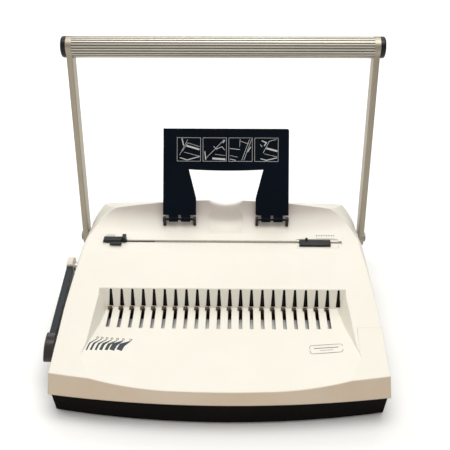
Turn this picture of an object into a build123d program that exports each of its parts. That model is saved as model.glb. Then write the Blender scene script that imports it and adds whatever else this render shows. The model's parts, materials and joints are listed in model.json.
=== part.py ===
from build123d import *
import math
import os

# Comb binding machine: punches a row of holes in paper and opens a plastic comb over hooks.
# Millimetres, +Z up, X along the machine, -Y towards the person using it.
# The origin is on the table under the middle of the machine.

# Hole row and comb slots
comb_pitch = 14.2875
hook_count = 21
first_slot_x = -145.5
slot_positions = [first_slot_x + comb_pitch * i for i in range(hook_count + 1)]
hook_positions = slot_positions[:hook_count]

# Housing plan and heights
wall = 2.5
foot_height = 3.0
seam_z = 36.0
cover_half_width = 205.0
cover_front_y = -170.0
front_bow = 14.5
side_mid_x = 203.5
side_mid_y = -60.0
side_rear_x = 197.5
side_rear_y = 80.0
rear_x = 194.5
rear_y = 145.0
rear_radius = 34.0
loft_top_z = 140.0
side_draft = 5.0
apron_lean = math.tan(math.radians(33))
base_inset = 3.0
base_bow = 17.5
base_draft = 1.8

# Side profile of the top, from the front edge to the back of the hump
slope_front = (-155.0, 58.0)
front_fall = 15.33
slope_knee = (-90.0, 67.5)
slope_shoulder = (-43.0, 77.5)
shelf_front = (30.0, 94.0)
shelf_back = (60.0, 98.2)
ramp_middle = (84.0, 106.0)
ramp_top = (107.0, 127.0)
under_hump_z = 88.0
notch_margin = 1.5
under_hump_back = (147.0, 60.0)
hump_half = 172.0
hump_side_share = 0.39
crest_sections = [(107.0, 0.0), (108.4, -0.3), (110.0, -1.2), (113.0, -3.8), (150.0, -33.0)]
rear_slope_stretch = 1.25
ramp_spots = [60.0, 68.0, 76.0, 84.0, 92.0, 100.0, 107.0]
shoulder_front = ((174.0, 113.0), (190.0, 96.0))
shoulder_rear = ((154.0, 113.0), (174.0, 100.0))
shoulder_foot = (206.0, 52.0)
shoulder_seam_x = 209.0
shoulder_sections = [
    (-300.0, shoulder_front),
    (55.0, shoulder_front),
    (107.0, shoulder_rear),
    (300.0, shoulder_rear),
]
crown_half = 120.0
limit_z = 150.0

# Hand scoop in the hump
scoop_half = 27.0
scoop_rim = 0.8
scoop_stretch = 1.2
scoop_spots = [
    (61.0, 0.5),
    (70.0, 1.8),
    (80.0, 3.2),
    (92.0, 4.6),
    (107.0, 6.4),
    (113.0, 10.6),
    (150.0, 39.0),
]

# Comb recess in the top
recess_x = 1.5
fold_y = -39.8
fold_z = 55.8
floor_slope = 0.0455
recess_wall_angle = 66.6
recess_dish_half = 55.0
recess_wall_run = 0.42
recess_rim_height = 60.0
recess_sections = [
    (-10.0, 152.0, 0.0),
    (fold_y, 152.0, 0.0),
    (-73.0, 158.0, 1.9),
    (-112.0, 166.0, 9.5),
    (-150.0, 178.0, 10.5),
    (-215.0, 196.0, 11.0),
]
upper_slot_top_z = 79.6
upper_slot_foot_z = fold_z + 0.6
upper_slot_top_width = 3.0
upper_slot_foot_width = 6.0
lower_slot_width = 4.5
lower_slot_front_y = -76.5
lower_slot_back_y = fold_y - 0.6

# Paper throat and punch
throat_y = 51.0
throat_gap = 3.0
throat_half_length = 166.0
die_thickness = 6.0
stripper_thickness = 4.0
die_bottom_z = 62.0
die_top_z = 90.0
paper_stop_z = 70.0
hole_z = 75.0
pin_width = 8.0
pin_height = 3.0
pin_clearance = 0.2
punch_stroke = 10.0
bar_front_y = 82.0
bar_back_y = 92.0

# Frames and handle
frame_x = 180.0
frame_thickness = 3.0
shaft_y = 110.0
shaft_z = 60.0
shaft_radius = 8.0
running_clearance = 0.06
handle_angle = 75.0
arm_inner_x = 199.0
arm_thickness = 8.0
arm_width = 22.0
grip_y = 169.5
grip_z = 331.3
grip_radius = 14.0
cap_thickness = 7.0

# Comb opening lever
lever_y = 34.0
lever_z = 63.0
lever_shaft_radius = 6.0
gear_module = 2.0
gear_teeth = 20
gear_x = -188.5
gear_width = 7.0
lever_angle = 80.0
pressure_angle = math.radians(20)
gear_radius = gear_module * gear_teeth / 2
slide_travel = gear_radius * math.radians(lever_angle)

# Paper support
support_x = 4.5
support_width = 177.0
support_leg = 46.5
support_y = 80.0
support_z = 113.0
support_length = 128.0
support_lean = 36.5
support_thickness = 4.0

os.makedirs("parts", exist_ok=True)


def write(builder, name):
    """Label a finished piece and write it as its own file."""
    builder.part.label = name
    export_step(builder.part, f"parts/{name}.step")


def top_height(y):
    """Height of the housing's top at its sides, in front of the shelf."""
    points = [slope_front, slope_knee, slope_shoulder, shelf_front, shelf_back]
    for (y0, z0), (y1, z1) in zip(points, points[1:]):
        if y <= y1:
            break
    return z0 + (z1 - z0) * (y - y0) / (y1 - y0)


def floor_height(y):
    """Height of the recess floor."""
    return fold_z + (y - fold_y) * floor_slope


def back_wall_y(z):
    """Where the recess's back wall stands at height z."""
    return fold_y + (z - fold_z) / math.tan(math.radians(recess_wall_angle))


def plan_outline(inset, front_shift, bow):
    """Plan of the housing, drawn in by inset, with its front edge moved back by front_shift."""
    front_x = cover_half_width - inset
    front_y = cover_front_y + inset + front_shift
    side_x = side_rear_x - inset
    back_x = rear_x - inset
    back_y = rear_y - inset
    with BuildSketch(mode=Mode.PRIVATE) as plan:
        with BuildLine():
            ThreePointArc((-front_x, front_y), (0, front_y - bow), (front_x, front_y))
            ThreePointArc((front_x, front_y), (side_mid_x - inset, side_mid_y), (side_x, side_rear_y))
            Line((side_x, side_rear_y), (back_x, back_y))
            Line((back_x, back_y), (-back_x, back_y))
            Line((-back_x, back_y), (-side_x, side_rear_y))
            ThreePointArc((-side_x, side_rear_y), (-side_mid_x + inset, side_mid_y), (-front_x, front_y))
        make_face()
        fillet(plan.vertices().sort_by(Axis.Y)[-2:], rear_radius - inset)
    return plan.sketch


def recess_form(inset):
    """The comb recess: steep walls at the fold that fade into a shallow dish towards the front."""
    with BuildPart(mode=Mode.PRIVATE) as valley:
        for y, half, lift in recess_sections:
            floor_z = floor_height(y) - inset
            edge = half + inset
            rim = edge + recess_rim_height * recess_wall_run
            with BuildSketch(Plane.XZ.offset(-y)):
                with BuildLine():
                    for side in (-1, 1):
                        Bezier(
                            (recess_x + side * recess_dish_half, floor_z),
                            (recess_x + side * (recess_dish_half + edge) / 2, floor_z),
                            (recess_x + side * edge, floor_z + lift),
                        )
                    Polyline(
                        (recess_x + edge, floor_z + lift),
                        (recess_x + rim, floor_z + recess_rim_height),
                        (recess_x - rim, floor_z + recess_rim_height),
                        (recess_x - edge, floor_z + lift),
                    )
                    Line(
                        (recess_x - recess_dish_half, floor_z),
                        (recess_x + recess_dish_half, floor_z),
                    )
                make_face()
        loft(ruled=True)
        with BuildSketch(Plane.YZ):
            shift = inset / math.sin(math.radians(recess_wall_angle))
            with BuildLine():
                Polyline(
                    (back_wall_y(20) + shift, 20),
                    (back_wall_y(150) + shift, 150),
                    (-300, 150),
                    (-300, 20),
                    close=True,
                )
            make_face()
        extrude(amount=400, both=True, mode=Mode.INTERSECT)
    return valley.part


def ramp_height(y):
    """Height of the concave ramp at the middle of the machine."""
    (y1, z1), (y2, z2), (y3, z3) = shelf_back, ramp_middle, ramp_top
    d = 2 * (y1 * (z2 - z3) + y2 * (z3 - z1) + y3 * (z1 - z2))
    s1, s2, s3 = y1**2 + z1**2, y2**2 + z2**2, y3**2 + z3**2
    middle_y = (s1 * (z2 - z3) + s2 * (z3 - z1) + s3 * (z1 - z2)) / d
    middle_z = (s1 * (y3 - y2) + s2 * (y1 - y3) + s3 * (y2 - y1)) / d
    radius = math.hypot(y1 - middle_y, z1 - middle_z)
    return middle_z - math.sqrt(radius**2 - (y - middle_y) ** 2)


def hump_section(y, middle_z):
    """A slice across the hump: flat below, arched on top."""
    sag = max(0.05, (1 - hump_side_share) * (middle_z - shelf_back[1]))
    end_z = middle_z - sag * (cover_half_width / hump_half) ** 2
    with BuildSketch(Plane.XZ.offset(-y)) as section:
        with BuildLine():
            ThreePointArc((-cover_half_width, end_z), (0, middle_z), (cover_half_width, end_z))
            Polyline(
                (cover_half_width, end_z),
                (cover_half_width, 55),
                (-cover_half_width, 55),
                (-cover_half_width, end_z),
            )
        make_face()
    return section.sketch


def hump_form(inset):
    """The ramp behind the shelf, its crest, and the slope behind the crest."""
    steep = rear_slope_stretch * inset
    with BuildPart(mode=Mode.PRIVATE) as hump:
        for y in ramp_spots:
            add(hump_section(y, ramp_height(y) - inset))
        loft()
    with BuildPart(mode=Mode.PRIVATE) as rear:
        for y, rise in crest_sections:
            add(hump_section(y, ramp_top[1] + rise - (inset if y <= ramp_top[0] else steep)))
        loft(ruled=True)
    return [hump.part, rear.part]


def scoop_form(inset):
    """The hand scoop: a hollow that widens and fades out down the ramp."""
    with BuildPart(mode=Mode.PRIVATE) as scoop:
        for y, depth in scoop_spots:
            rim_z = ramp_height(min(y, ramp_top[0])) + scoop_rim
            with BuildSketch(Plane.XZ.offset(-y)):
                with BuildLine():
                    ThreePointArc(
                        (support_x - scoop_half - inset, rim_z),
                        (support_x, rim_z - scoop_rim - depth - scoop_stretch * inset),
                        (support_x + scoop_half + inset, rim_z),
                    )
                    Polyline(
                        (support_x + scoop_half + inset, rim_z),
                        (support_x + scoop_half + inset, limit_z),
                        (support_x - scoop_half - inset, limit_z),
                        (support_x - scoop_half - inset, rim_z),
                    )
                make_face()
        loft()
    return scoop.part


def shoulder_form(inset):
    """Everything below the rounded shoulders that run along both sides."""
    with BuildPart(mode=Mode.PRIVATE) as shoulders:
        for y, (top, middle) in shoulder_sections:
            with BuildSketch(Plane.XZ.offset(-y)):
                with BuildLine():
                    for side in (-1, 1):
                        Line((side * crown_half, limit_z), (side * (top[0] - inset), top[1]))
                        ThreePointArc(
                            (side * (top[0] - inset), top[1]),
                            (side * (middle[0] - inset), middle[1]),
                            (side * (shoulder_foot[0] - inset), shoulder_foot[1]),
                        )
                        Line(
                            (side * (shoulder_foot[0] - inset), shoulder_foot[1]),
                            (side * shoulder_seam_x, 0),
                        )
                    Line((-shoulder_seam_x, 0), (shoulder_seam_x, 0))
                    Line((-crown_half, limit_z), (crown_half, limit_z))
                make_face()
        loft(ruled=True)
    return shoulders.part


def cover_body(inset):
    """The housing's outer form drawn in by inset: plan, side profile, hump, recess and hand scoop."""
    rise = loft_top_z - seam_z
    notch_y = shelf_back[0] + notch_margin + 2 * inset
    with BuildPart(mode=Mode.PRIVATE) as outline:
        with BuildSketch(Plane.XY.offset(seam_z)):
            add(plan_outline(inset, 0, front_bow))
        with BuildSketch(Plane.XY.offset(loft_top_z)):
            add(plan_outline(inset + side_draft, rise * apron_lean - side_draft, front_bow))
        loft(ruled=True)
        # rounded shoulders along both sides, drawn in beside the hump
        add(shoulder_form(inset), mode=Mode.INTERSECT)
    with BuildPart(mode=Mode.PRIVATE) as body:
        with BuildSketch(Plane.YZ):
            with BuildLine():
                Polyline(
                    (under_hump_back[0] + 20, -60),
                    (-260, -60),
                    (-260, slope_front[1] - front_fall),
                    slope_front,
                    slope_knee,
                    slope_shoulder,
                    shelf_front,
                    shelf_back,
                    (notch_y, shelf_back[1]),
                    (notch_y, under_hump_z),
                    (ramp_top[0], under_hump_z),
                    under_hump_back,
                    (under_hump_back[0] + 20, -60),
                )
            make_face()
            if inset > 0:
                offset(amount=-inset, kind=Kind.INTERSECTION, mode=Mode.REPLACE)
        extrude(amount=300, both=True)
        for form in hump_form(inset):
            add(form)
        add(outline.part, mode=Mode.INTERSECT)
        add(recess_form(inset), mode=Mode.SUBTRACT)
        add(scoop_form(inset), mode=Mode.SUBTRACT)
    return body.part


def base_body(inset, floor_z):
    """The base pan's outer form drawn in by inset, from floor_z up to the seam."""
    with BuildPart(mode=Mode.PRIVATE) as body:
        with BuildSketch(Plane.XY.offset(floor_z)):
            add(plan_outline(base_inset + base_draft + inset, 0, base_bow))
        with BuildSketch(Plane.XY.offset(seam_z)):
            add(plan_outline(base_inset + inset, 0, base_bow))
        loft(ruled=True)
    return body.part


# ---------------------------------------------------------------- base

foot_radius = 9.0
foot_spots = [(-168, -142), (168, -142), (-150, 108), (150, 108)]
screw_spots = [(-186, -128), (186, -128), (-140, 134), (140, 134)]
boss_radius = 5.0
screw_radius = 1.8
screw_head_radius = 4.0
screw_head_depth = 3.6
screw_top_z = 48.0
frame_front_y = -26.0
frame_back_y = 130.0
frame_foot_z = 35.0
tray_front_y = 21.0
tray_back_y = 91.0
tray_left_x = -150.0
tray_right_x = 188.0
tray_bottom_z = 6.5
tray_top_z = 31.0
tray_wall = 1.6
tray_gap = 0.8
tray_mid_y = (tray_front_y + tray_back_y) / 2
tray_depth = tray_back_y - tray_front_y
pan_floor_z = foot_height + wall
post_radius = 4.0
post_y = -79.7
post_x = 156.0

with BuildPart() as base_pan:
    add(base_body(0, foot_height))
    add(base_body(wall, pan_floor_z), mode=Mode.SUBTRACT)
    # screw posts, pads under the side frames and rails beside the tray
    with BuildSketch(Plane.XY.offset(foot_height)):
        with Locations(*screw_spots):
            Circle(boss_radius)
    extrude(amount=seam_z - foot_height)
    with BuildSketch(Plane.XY.offset(foot_height)):
        for side in (-1, 1):
            with Locations((side * frame_x, frame_front_y + 16), (side * frame_x, frame_back_y - 16)):
                Rectangle(8, 32)
    extrude(amount=frame_foot_z - foot_height)
    with BuildSketch(Plane.XY.offset(foot_height)):
        with Locations((0, tray_front_y - tray_gap - 1.2), (0, tray_back_y + tray_gap + 1.2)):
            Rectangle(330, 2.4)
    extrude(amount=13)
    with Locations((tray_right_x + 12, tray_mid_y, (tray_bottom_z + tray_top_z) / 2 + 0.5)):
        Box(40, tray_depth + 2 * tray_gap, tray_top_z - tray_bottom_z + 3, mode=Mode.SUBTRACT)
    # screw holes with sunk seats
    with Locations(*[(x, y, foot_height) for x, y in screw_spots]):
        Cylinder(screw_radius + 0.3, 2 * seam_z, mode=Mode.SUBTRACT)
        Cylinder(screw_head_radius + 0.3, 2 * screw_head_depth + 0.8, mode=Mode.SUBTRACT)
write(base_pan, "base_pan")

with BuildPart() as rubber_feet:
    with BuildSketch():
        with Locations(*foot_spots):
            Circle(foot_radius)
    extrude(amount=foot_height)
    chamfer(rubber_feet.faces().filter_by(Axis.Z).group_by(Axis.Z)[0].edges(), 0.8)
write(rubber_feet, "rubber_feet")

with BuildPart() as housing_screws:
    with BuildSketch(Plane.XY.offset(foot_height + 0.4)):
        with Locations(*screw_spots):
            Circle(screw_head_radius)
    extrude(amount=screw_head_depth)
    with BuildSketch(Plane.XY.offset(foot_height + 0.4)):
        with Locations(*screw_spots):
            Rectangle(4.6, 1.0)
            Rectangle(1.0, 4.6)
    extrude(amount=1.4, mode=Mode.SUBTRACT)
    with BuildSketch(Plane.XY.offset(foot_height + 0.4 + screw_head_depth)):
        with Locations(*screw_spots):
            Circle(screw_radius)
    extrude(amount=screw_top_z - foot_height - 0.4 - screw_head_depth)
write(housing_screws, "housing_screws")

with BuildPart() as slide_posts:
    with BuildSketch(Plane.XY.offset(pan_floor_z)):
        with Locations((-post_x, post_y), (post_x, post_y)):
            Circle(post_radius)
    extrude(amount=43.8 - pan_floor_z)
    with BuildSketch(Plane.XY.offset(43.8)):
        with Locations((-post_x, post_y), (post_x, post_y)):
            Circle(2.5)
    extrude(amount=3.2)
    with BuildSketch(Plane.XY.offset(47.0)):
        with Locations((-post_x, post_y), (post_x, post_y)):
            Circle(4.6)
    extrude(amount=1.8)
write(slide_posts, "slide_posts")

# ---------------------------------------------------------------- waste tray

with BuildPart() as waste_tray:
    tray_length = tray_right_x - tray_left_x
    tray_mid_x = (tray_right_x + tray_left_x) / 2
    with BuildSketch(Plane.XY.offset(tray_bottom_z)):
        with Locations((tray_mid_x, tray_mid_y)):
            RectangleRounded(tray_length, tray_depth, 4)
    extrude(amount=tray_top_z - tray_bottom_z)
    with BuildSketch(Plane.XY.offset(tray_bottom_z + tray_wall)):
        with Locations((tray_mid_x, tray_mid_y)):
            RectangleRounded(tray_length - 2 * tray_wall, tray_depth - 2 * tray_wall, 2.4)
    extrude(amount=tray_top_z, mode=Mode.SUBTRACT)
write(waste_tray, "waste_tray")

with BuildPart() as tray_front:
    add(base_body(0, foot_height))
    with Locations((tray_right_x + 20, tray_mid_y, (tray_bottom_z + tray_top_z) / 2 + 0.5)):
        Box(40, tray_depth + tray_gap, tray_top_z - tray_bottom_z + 2, mode=Mode.INTERSECT)
    # finger recess
    with Locations((tray_right_x + 12, tray_mid_y, 20)):
        Box(20, 30, 13, mode=Mode.SUBTRACT)
write(tray_front, "tray_front")

# ---------------------------------------------------------------- top cover


def upper_slot():
    """A comb slot in the back wall, narrow and round at the top."""
    radius = upper_slot_top_width / 2
    with BuildSketch(mode=Mode.PRIVATE) as slot:
        with BuildLine():
            Polyline(
                (-radius, upper_slot_top_z - radius),
                (-upper_slot_foot_width / 2, upper_slot_foot_z),
                (upper_slot_foot_width / 2, upper_slot_foot_z),
                (radius, upper_slot_top_z - radius),
            )
            ThreePointArc(
                (radius, upper_slot_top_z - radius),
                (0, upper_slot_top_z),
                (-radius, upper_slot_top_z - radius),
            )
        make_face()
    return slot.sketch


lead_in_front_y = 44.5
slit_front_y = throat_y - throat_gap / 2 + 0.3
slit_back_y = throat_y + throat_gap / 2
lip = 1.6
lip_bottom_z = 90.6
lip_top_z = 96.0
lip_runs = [(-throat_half_length, -134.0, 0.0), (-94.0, throat_half_length, 0.65)]
pad_inner_x = 172.0
pad_front_y = -128.0
pad_back_y = -87.0
pad_rise = 1.3
pad_outer_x = 203.2
pocket_left_x = 104.0
pocket_right_x = 161.0
pocket_front_y = 39.0
pocket_back_y = 56.0
pocket_depth = 1.2

boss_columns = [Pos(x, y, seam_z + 50) * Cylinder(boss_radius, 100) for x, y in screw_spots]
boss_limit = cover_body(0.6)
screw_bosses = [boss_limit & column for column in boss_columns]

with BuildPart() as top_cover:
    add(cover_body(0))
    crest = [e for e in top_cover.edges() if e.center().Y < -155 and 45 < e.center().Z < 60]
    fillet([e for e in crest if e.bounding_box().size.X > 8], 2)
    rim = [e for e in top_cover.edges() if abs(e.center().Y + 29) < 2 and e.center().Z > 70]
    fillet([e for e in rim if e.bounding_box().size.X > 200], 1.5)
    add(cover_body(wall), mode=Mode.SUBTRACT)
    # lips that guide the paper down into the throat
    for x0, x1, reach in lip_runs:
        for y in (slit_front_y - lip / 2 + reach, slit_back_y + lip / 2 - reach):
            with Locations(((x0 + x1) / 2, y, (lip_bottom_z + lip_top_z) / 2)):
                Box(x1 - x0, lip, lip_top_z - lip_bottom_z)
    # raised pad at the front right, which fades out towards the front
    with BuildSketch(Plane.YZ.offset(pad_inner_x)):
        with BuildLine():
            Polyline(
                (pad_front_y, top_height(pad_front_y) - 1.5),
                (pad_front_y, top_height(pad_front_y)),
                (pad_back_y, top_height(pad_back_y) + pad_rise),
                (pad_back_y, top_height(pad_back_y) - 1.5),
                close=True,
            )
        make_face()
    extrude(amount=pad_outer_x - pad_inner_x)
    # upper and lower comb slots
    with BuildSketch(Plane.XZ.offset(3 - fold_y)):
        with Locations(*[(x, 0) for x in slot_positions]):
            add(upper_slot())
    extrude(amount=-20, mode=Mode.SUBTRACT)
    slot_length = lower_slot_back_y - lower_slot_front_y
    with Locations(*[(x, lower_slot_front_y + slot_length / 2, fold_z - 4) for x in hook_positions]):
        Box(lower_slot_width, slot_length, 16, mode=Mode.SUBTRACT)
    # paper throat: a sloping lead-in and the slit behind it
    with BuildSketch(Plane.YZ.offset(-throat_half_length)):
        with BuildLine():
            Polyline(
                (lead_in_front_y, top_height(lead_in_front_y)),
                (slit_front_y, top_height(slit_front_y) - 1.6),
                (slit_front_y, 85),
                (slit_back_y, 85),
                (slit_back_y, 110),
                (lead_in_front_y, 110),
                close=True,
            )
        make_face()
    extrude(amount=2 * throat_half_length, mode=Mode.SUBTRACT)
    # pocket for the margin selector
    with BuildSketch(Plane.YZ.offset(pocket_left_x)):
        with BuildLine():
            Polyline(
                (pocket_front_y, top_height(pocket_front_y) - pocket_depth),
                (pocket_back_y, top_height(pocket_back_y) - pocket_depth),
                (pocket_back_y, 110),
                (pocket_front_y, 110),
                close=True,
            )
        make_face()
    extrude(amount=pocket_right_x - pocket_left_x, mode=Mode.SUBTRACT)
    # holes for the handle shaft and the lever shaft
    with Locations((0, shaft_y, shaft_z)):
        Cylinder(shaft_radius + 1.5, 450, rotation=(0, 90, 0), mode=Mode.SUBTRACT)
    with Locations((-200, lever_y, lever_z)):
        Cylinder(lever_shaft_radius + 1.5, 40, rotation=(0, 90, 0), mode=Mode.SUBTRACT)
    # screw bosses
    add(screw_bosses)
    with Locations(*[(x, y, seam_z) for x, y in screw_spots]):
        Cylinder(screw_radius + 0.1, 30, mode=Mode.SUBTRACT)
write(top_cover, "top_cover")

# ---------------------------------------------------------------- frames

tie_bar_spots = [(123, 42), (5, 45)]
tie_bar_radius = 3.5
bush_radius = 11.0
lever_bush_radius = 9.0
frame_inner_x = frame_x - frame_thickness / 2
frame_screw_spots = [(46.5, 68), (46.5, 80), (-22, 55), (-22, 67)]


def side_frame(side):
    """A steel side frame with its shaft hole; the left one also carries the lever shaft."""
    with BuildPart() as frame:
        with BuildSketch(Plane.YZ.offset(side * frame_x - frame_thickness / 2)) as outline:
            with BuildLine():
                Polyline(
                    (frame_front_y, frame_foot_z),
                    (frame_back_y, frame_foot_z),
                    (frame_back_y, 66),
                    (120, 84),
                    (62, 90),
                    (34, 87),
                    (frame_front_y, 72),
                    close=True,
                )
            make_face()
            fillet(outline.vertices().filter_by(lambda v: v.Z > 60 or v.Y > 60), 3)
            with Locations((shaft_y, shaft_z)):
                Circle(bush_radius, mode=Mode.SUBTRACT)
            if side < 0:
                with Locations((lever_y, lever_z)):
                    Circle(lever_bush_radius, mode=Mode.SUBTRACT)
        extrude(amount=frame_thickness)
    return frame


write(side_frame(-1), "side_frame_left")
write(side_frame(1), "side_frame_right")

with BuildPart() as frame_tie_bars:
    with BuildSketch(Plane.YZ.offset(-frame_inner_x)):
        with Locations(*tie_bar_spots):
            Circle(tie_bar_radius)
    extrude(amount=2 * frame_inner_x)
write(frame_tie_bars, "frame_tie_bars")

with BuildPart() as frame_screws:
    for x, turn in ((frame_x + frame_thickness / 2, 1), (-frame_x - frame_thickness / 2, -1)):
        with BuildSketch(Plane.YZ.offset(x)):
            with Locations(*frame_screw_spots):
                RegularPolygon(2.7, 6)
        extrude(amount=2.2 * turn)
write(frame_screws, "frame_screws")

with BuildPart() as shaft_bushes:
    for side in (-1, 1):
        with BuildSketch(Plane.YZ.offset(side * frame_inner_x)):
            with Locations((shaft_y, shaft_z)):
                Circle(bush_radius)
                Circle(shaft_radius + running_clearance, mode=Mode.SUBTRACT)
        extrude(amount=side * frame_thickness)
        with BuildSketch(Plane.YZ.offset(side * (frame_inner_x + frame_thickness))):
            with Locations((shaft_y, shaft_z)):
                Circle(bush_radius + 2)
                Circle(shaft_radius + running_clearance, mode=Mode.SUBTRACT)
        extrude(amount=side * 2.0)
write(shaft_bushes, "shaft_bushes")

with BuildPart() as lever_bush:
    with BuildSketch(Plane.YZ.offset(-frame_inner_x - frame_thickness)):
        with Locations((lever_y, lever_z)):
            Circle(lever_bush_radius)
            Circle(lever_shaft_radius + running_clearance, mode=Mode.SUBTRACT)
    extrude(amount=frame_thickness)
write(lever_bush, "lever_bush")

# ---------------------------------------------------------------- punch

front_die_y = throat_y - throat_gap / 2
stripper_y = throat_y + throat_gap / 2
rod_x = 160.0
rod_radius = 3.0
pin_tip_y = stripper_y + 0.7
pin_tail_y = bar_back_y - 4
die_mid_z = (die_bottom_z + die_top_z) / 2
cam_x = 120.0
cam_width = 12.0
lug_width = 20.0
lug_bottom_z = 46.0
bar_bottom_z = 68.0
bar_top_z = 84.0
bar_half_length = 172.0
bar_mid_y = (bar_front_y + bar_back_y) / 2
bar_depth = bar_back_y - bar_front_y


def punched_plate(front_y, thickness):
    """A plate across the machine with one hole for each punch pin."""
    with BuildPart() as plate:
        with BuildSketch(Plane.XZ.offset(-front_y)):
            with Locations((0, die_mid_z)):
                Rectangle(2 * frame_inner_x, die_top_z - die_bottom_z)
            with Locations(*[(x, hole_z) for x in hook_positions]):
                Rectangle(pin_width + 2 * pin_clearance, pin_height + 2 * pin_clearance, mode=Mode.SUBTRACT)
        extrude(amount=-thickness)
    return plate


write(punched_plate(front_die_y - die_thickness, die_thickness), "front_die")
write(punched_plate(stripper_y, stripper_thickness), "stripper_plate")

with BuildPart() as paper_stop:
    with Locations((0, throat_y, (die_bottom_z + paper_stop_z) / 2)):
        Box(2 * frame_inner_x, throat_gap, paper_stop_z - die_bottom_z)
write(paper_stop, "paper_stop")

with BuildPart() as punch_pins:
    with Locations(*[(x, (pin_tip_y + pin_tail_y) / 2, hole_z) for x in hook_positions]):
        Box(pin_width, pin_tail_y - pin_tip_y, pin_height)
write(punch_pins, "punch_pins")

with BuildPart() as pressure_bar:
    with Locations((0, bar_mid_y, (bar_bottom_z + bar_top_z) / 2)):
        Box(2 * bar_half_length, bar_depth, bar_top_z - bar_bottom_z)
    with Locations(*[(side * cam_x, bar_mid_y, (lug_bottom_z + bar_bottom_z) / 2) for side in (-1, 1)]):
        Box(lug_width, bar_depth, bar_bottom_z - lug_bottom_z)
    with Locations(*[(x, (bar_front_y + pin_tail_y) / 2, hole_z) for x in hook_positions]):
        Box(pin_width, pin_tail_y - bar_front_y, pin_height, mode=Mode.SUBTRACT)
    with Locations((-rod_x, bar_mid_y, hole_z), (rod_x, bar_mid_y, hole_z)):
        Cylinder(rod_radius + 0.3, 2 * bar_depth, rotation=(90, 0, 0), mode=Mode.SUBTRACT)
write(pressure_bar, "pressure_bar")

with BuildPart() as guide_rods:
    with BuildSketch(Plane.XZ.offset(-stripper_y - stripper_thickness)):
        with Locations((-rod_x, hole_z), (rod_x, hole_z)):
            Circle(rod_radius)
    extrude(amount=-(98 - stripper_y - stripper_thickness))
write(guide_rods, "guide_rods")

spring_front_y = stripper_y + stripper_thickness + 1.0
spring_length = bar_front_y - spring_front_y - 1.0
spring_turns = 6

with BuildPart() as return_springs:
    for side in (-1, 1):
        with BuildLine() as coil:
            Helix(
                spring_length / spring_turns,
                spring_length,
                rod_radius + 1.8,
                center=(side * rod_x, spring_front_y, hole_z),
                direction=(0, 1, 0),
            )
        with BuildSketch(Plane(origin=coil.line @ 0, z_dir=coil.line % 0)):
            Circle(0.6)
        sweep(path=coil.line)
write(return_springs, "return_springs")

# ---------------------------------------------------------------- handle

cam_rate = punch_stroke / math.radians(handle_angle)
cam_gap = 0.35


def cam_reach(base):
    """How far a spiral cam that grows from base radius reaches towards a flat follower."""
    lead = math.atan(cam_rate / base)
    return (base + cam_rate * lead) * math.cos(lead)


cam_base = bar_depth
while cam_reach(cam_base) < shaft_y - bar_back_y - cam_gap:
    cam_base += 0.05


def cam_point(turn):
    """A point of the cam's working face, turn radians on from the face that meets the bar."""
    radius = cam_base + cam_rate * turn
    return (shaft_y - radius * math.cos(turn), shaft_z + radius * math.sin(turn))


def press_cam(x):
    """A spiral cam: its working face pushes the bar forward at a constant rate."""
    last_turn = math.radians(handle_angle + 26)
    heel = math.pi - last_turn
    with BuildPart() as cam:
        with BuildSketch(Plane.YZ.offset(x - cam_width / 2)):
            with BuildLine():
                Spline(*[cam_point(last_turn * i / 8) for i in range(9)])
                Line(
                    cam_point(last_turn),
                    (shaft_y + cam_base * math.cos(heel), shaft_z + cam_base * math.sin(heel)),
                )
                ThreePointArc(
                    (shaft_y + cam_base * math.cos(heel), shaft_z + cam_base * math.sin(heel)),
                    (shaft_y + cam_base * math.sin(0.9), shaft_z - cam_base * math.cos(0.9)),
                    (shaft_y - cam_base, shaft_z),
                )
            make_face()
            with Locations((shaft_y, shaft_z)):
                Circle(shaft_radius, mode=Mode.SUBTRACT)
        extrude(amount=cam_width)
    return cam


write(press_cam(-cam_x), "press_cam_left")
write(press_cam(cam_x), "press_cam_right")

arm_outer_x = arm_inner_x + arm_thickness
tie_rod_radius = 4.0
eye_radius = 12.0
arm_run = grip_y - shaft_y
arm_rise = grip_z - shaft_z
arm_length = math.hypot(arm_run, arm_rise)
arm_tilt = math.degrees(math.atan2(arm_run, arm_rise))

with BuildPart() as handle_shaft:
    with Locations((0, shaft_y, shaft_z)):
        Cylinder(shaft_radius, 2 * arm_outer_x, rotation=(0, 90, 0))
write(handle_shaft, "handle_shaft")


def handle_arm(inner_x, direction):
    """A flat arm from the shaft up to the grip, with an eye at each end."""
    with BuildPart() as arm:
        with BuildSketch(Plane.YZ.offset(inner_x)):
            with Locations((shaft_y, shaft_z)):
                Circle(eye_radius)
            with Locations((grip_y, grip_z)):
                Circle(grip_radius)
            with Locations(Location((shaft_y + arm_run / 2, shaft_z + arm_rise / 2), -arm_tilt)):
                Rectangle(arm_width, arm_length)
            with Locations((shaft_y, shaft_z)):
                Circle(shaft_radius, mode=Mode.SUBTRACT)
            with Locations((grip_y, grip_z)):
                Circle(tie_rod_radius, mode=Mode.SUBTRACT)
        extrude(amount=arm_thickness * direction)
        long_edges = arm.edges().filter_by(GeomType.LINE).filter_by(lambda e: e.length > 100)
        fillet(long_edges, 1.2)
    return arm


write(handle_arm(-arm_inner_x, -1), "handle_arm_left")
write(handle_arm(arm_inner_x, 1), "handle_arm_right")

flute_count = 24
with BuildPart() as grip_tube:
    with BuildSketch(Plane.YZ.offset(-arm_inner_x)):
        with Locations((grip_y, grip_z)):
            Circle(grip_radius)
            with PolarLocations(grip_radius + 0.35, flute_count):
                Circle(1.1, mode=Mode.SUBTRACT)
            Circle(grip_radius - 2.5, mode=Mode.SUBTRACT)
    extrude(amount=2 * arm_inner_x)
write(grip_tube, "grip_tube")

with BuildPart() as grip_tie_rod:
    with Locations((0, grip_y, grip_z)):
        Cylinder(tie_rod_radius, 2 * arm_outer_x, rotation=(0, 90, 0))
write(grip_tie_rod, "grip_tie_rod")

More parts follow.
